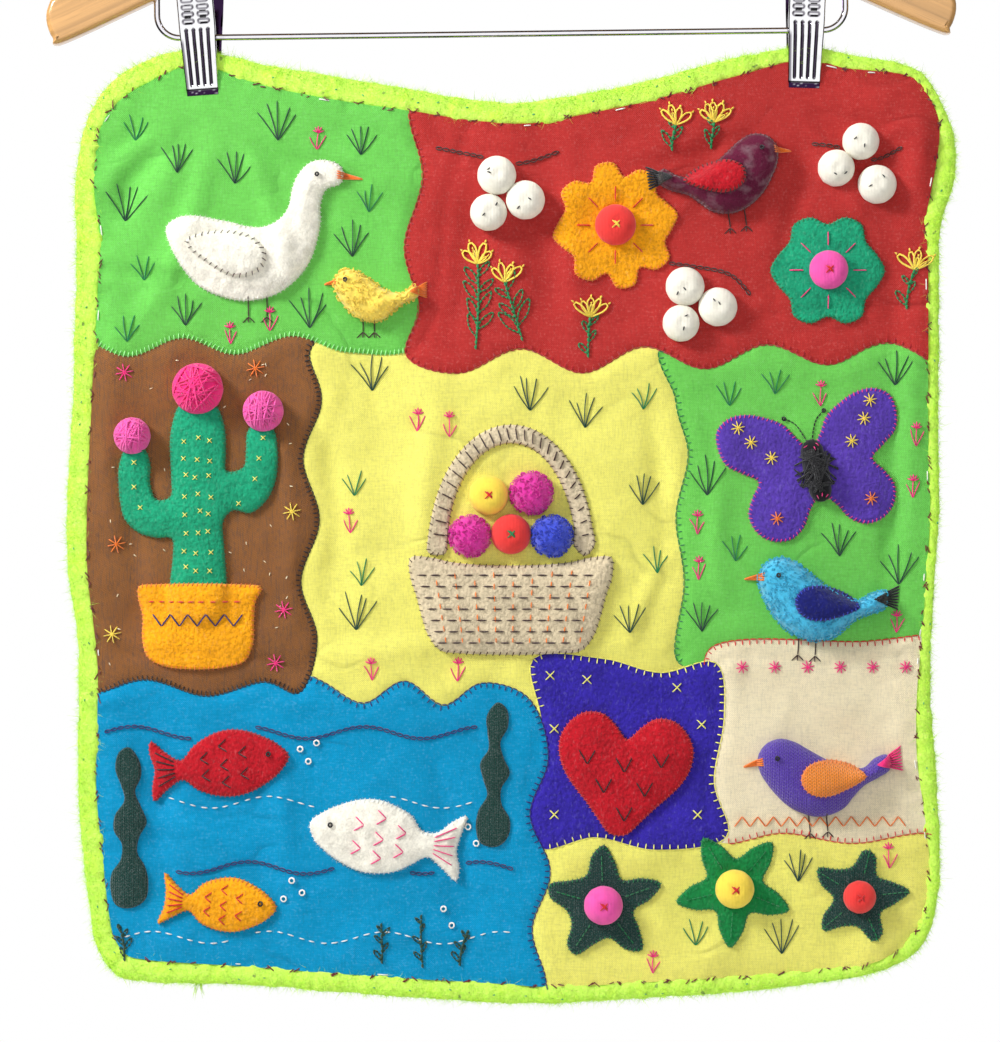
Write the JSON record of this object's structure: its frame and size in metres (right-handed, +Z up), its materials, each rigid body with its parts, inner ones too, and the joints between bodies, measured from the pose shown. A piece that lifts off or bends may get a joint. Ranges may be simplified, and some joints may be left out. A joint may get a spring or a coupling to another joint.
{
  "type": "arpillera textile on a wooden clip hanger",
  "caption": "Patchwork wall textile with stuffed appliqué and a brushed yarn edging, hung by chrome clips from a wooden hanger with a wire hook.",
  "frame": {"origin": "the point under the crown of the hook where a rail bears", "axes": "+Z up, the cloth faces -Y, +X to the viewer's right"},
  "size_m": [0.4449, 0.0309, 0.6609],
  "materials": {
    "backing_cotton": "plain weave",
    "bar_steel": "polished",
    "beech": "satin",
    "black_yarn": "brushed",
    "blue_terry": "looped pile",
    "clip_chrome": "polished",
    "cream_felt": "felted",
    "cream_knit": "knitted",
    "dark_green_felt": "felted",
    "gold_felt": "felted",
    "hook_steel": "polished",
    "jade_felt": "felted",
    "magenta_terry": "looped pile",
    "maroon_felt": "felted",
    "neon_yarn": "brushed",
    "orange_knit": "knitted",
    "pink_jersey": "stockinette",
    "pink_yarn": "brushed",
    "red_felt": "felted",
    "red_jersey": "stockinette",
    "turquoise_terry": "looped pile",
    "violet_felt": "felted",
    "violet_knit": "knitted",
    "white_fleece": "short pile",
    "white_jersey": "stockinette",
    "yellow_jersey": "stockinette"
  },
  "bodies": {
    "root": {"backing_cloth": "backing_cotton", "basket": "cream_felt", "basket_handle": "cream_felt", "berry_1": "white_jersey", "berry_2": "white_jersey", "berry_3": "white_jersey", "berry_4": "white_jersey", "berry_5": "white_jersey", "berry_6": "white_jersey", "berry_7": "white_jersey", "berry_8": "white_jersey", "berry_9": "white_jersey", "butterfly_body": "black_yarn", "butterfly_wings": "violet_felt", "cactus": "jade_felt", "cactus_bloom_1": "pink_yarn", "cactus_bloom_2": "pink_yarn", "cactus_bloom_3": "pink_yarn", "clip_bar": "bar_steel", "clip_left_back": "clip_chrome", "clip_left_front": "clip_chrome", "clip_left_spring": "bar_steel", "clip_right_back": "clip_chrome", "clip_right_front": "clip_chrome", "clip_right_spring": "bar_steel", "cream_chick_body": "cream_knit", "edging": "neon_yarn", "flower_pot": "gold_felt", "fruit_1": "magenta_terry", "fruit_2": "red_jersey", "fruit_3": "blue_terry", "fruit_4": "yellow_jersey", "fruit_5": "magenta_terry", "gold_fish": "gold_felt", "gold_flower": "gold_felt", "gold_flower_centre": "red_jersey", "goose_body": "white_fleece", "goose_wing": "white_fleece", "hanger_arms": "beech", "heart": "red_felt", "hook": "hook_steel", "jade_flower": "jade_felt", "jade_flower_centre": "pink_jersey", "leaf_star_one": "dark_green_felt", "leaf_star_one_ball": "pink_jersey", "leaf_star_three": "dark_green_felt", "leaf_star_three_ball": "red_jersey", "leaf_star_two": "dark_green_felt", "leaf_star_two_ball": "yellow_jersey", "maroon_bird_body": "maroon_felt", "maroon_bird_wing": "maroon_felt", "red_fish": "red_felt", "turquoise_bird_body": "turquoise_terry", "turquoise_bird_wing": "black_yarn", "violet_bird_body": "violet_knit", "violet_bird_wing": "orange_knit", "weed_left": "dark_green_felt", "weed_right": "dark_green_felt", "white_fish": "white_fleece"}
  },
  "joints": []
}
